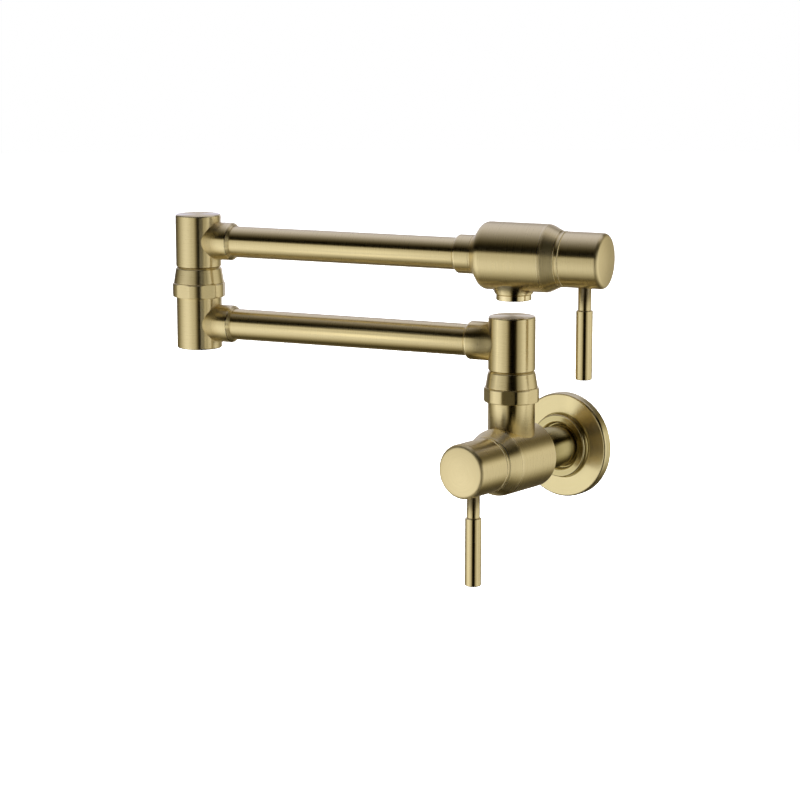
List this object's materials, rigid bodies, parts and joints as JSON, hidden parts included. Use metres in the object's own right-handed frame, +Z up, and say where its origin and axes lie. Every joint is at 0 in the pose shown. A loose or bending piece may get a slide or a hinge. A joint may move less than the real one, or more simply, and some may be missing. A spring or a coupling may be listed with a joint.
{
  "type": "wall-mounted folding kitchen tap",
  "caption": "Wall-mounted folding kitchen tap with a wall valve, swivelling arms joined by an upright elbow, and a spout valve with its own lever, in brushed gold finish.",
  "frame": {"origin": "centre of the inlet thread's mouth, in the plane of the wall", "axes": "+Z up, +Y into the wall along the inlet, -Y out into the room, +X to the right seen from the room"},
  "size_m": [0.2776, 0.1253, 0.2106],
  "materials": {
    "brushed_gold": "satin brushed gold coating on brass",
    "raw_brass": "machined, uncoated",
    "seal_rubber": "moulded black rubber",
    "ceramic": "lapped white ceramic",
    "bearing_plastic": "white bearing plastic",
    "clip_steel": "spring steel",
    "insert_plastic": "grey moulded plastic"
  },
  "bodies": {
    "base": {"escutcheon": "brushed_gold", "escutcheon_o_ring": "seal_rubber", "inlet_shank": "brushed_gold", "inlet_washer": "seal_rubber", "shank_o_ring": "seal_rubber", "wall_valve_body": "brushed_gold", "wall_seat_seal": "seal_rubber", "wall_fixed_disc": "ceramic", "wall_cartridge_body": "raw_brass", "wall_cartridge_o_ring": "seal_rubber", "wall_bonnet": "brushed_gold", "base_post": "brushed_gold", "base_swivel_washers": "bearing_plastic", "base_swivel_nut": "brushed_gold"},
    "wall_handle": {"wall_moving_disc": "ceramic", "wall_spindle": "raw_brass", "wall_spindle_o_ring": "seal_rubber", "wall_spindle_clip": "clip_steel", "wall_spline_insert": "insert_plastic", "wall_handle_cap": "brushed_gold", "wall_lever_rod": "brushed_gold", "wall_lever_grip": "brushed_gold"},
    "lower_arm": {"base_swivel_stem": "raw_brass", "base_stem_o_rings": "seal_rubber", "lower_arm_post": "brushed_gold", "lower_inner_collar": "brushed_gold", "lower_arm_tube": "brushed_gold", "lower_outer_collar": "brushed_gold", "elbow_lower_post": "brushed_gold", "mid_swivel_washers": "bearing_plastic", "mid_swivel_nut": "brushed_gold"},
    "upper_arm": {"mid_swivel_stem": "raw_brass", "mid_stem_o_rings": "seal_rubber", "elbow_upper_post": "brushed_gold", "upper_inner_collar": "brushed_gold", "upper_arm_tube": "brushed_gold", "upper_outer_collar": "brushed_gold", "spout_valve_body": "brushed_gold", "spout_seat_seal": "seal_rubber", "spout_fixed_disc": "ceramic", "spout_cartridge_body": "raw_brass", "spout_cartridge_o_ring": "seal_rubber", "spout_bonnet": "brushed_gold", "spout_nozzle": "brushed_gold", "aerator_washer": "seal_rubber", "aerator_insert": "insert_plastic", "aerator_housing": "brushed_gold"},
    "spout_handle": {"spout_moving_disc": "ceramic", "spout_spindle": "raw_brass", "spout_spindle_o_ring": "seal_rubber", "spout_spindle_clip": "clip_steel", "spout_spline_insert": "insert_plastic", "spout_handle_cap": "brushed_gold", "spout_lever_rod": "brushed_gold", "spout_lever_grip": "brushed_gold"}
  },
  "joints": [
    {"name": "wall_valve_turn", "type": "hinge", "parent": "base", "child": "wall_handle", "pos_m": [0, -0.08, 0], "axis": [0, -1, 0], "range_deg": [0, 90]},
    {"name": "base_swivel", "type": "hinge", "parent": "base", "child": "lower_arm", "pos_m": [0, -0.059, 0.0536], "axis": [0, 0, 1], "range_deg": [-14, 166]},
    {"name": "elbow_swivel", "type": "hinge", "parent": "lower_arm", "child": "upper_arm", "pos_m": [-0.20182, -0.10932, 0.0856], "axis": [0, 0, 1], "continuous": true},
    {"name": "spout_valve_turn", "type": "hinge", "parent": "upper_arm", "child": "spout_handle", "pos_m": [0.0228, -0.05332, 0.1206], "axis": [-0.9703, -0.2419, 0], "range_deg": [0, 90]}
  ]
}
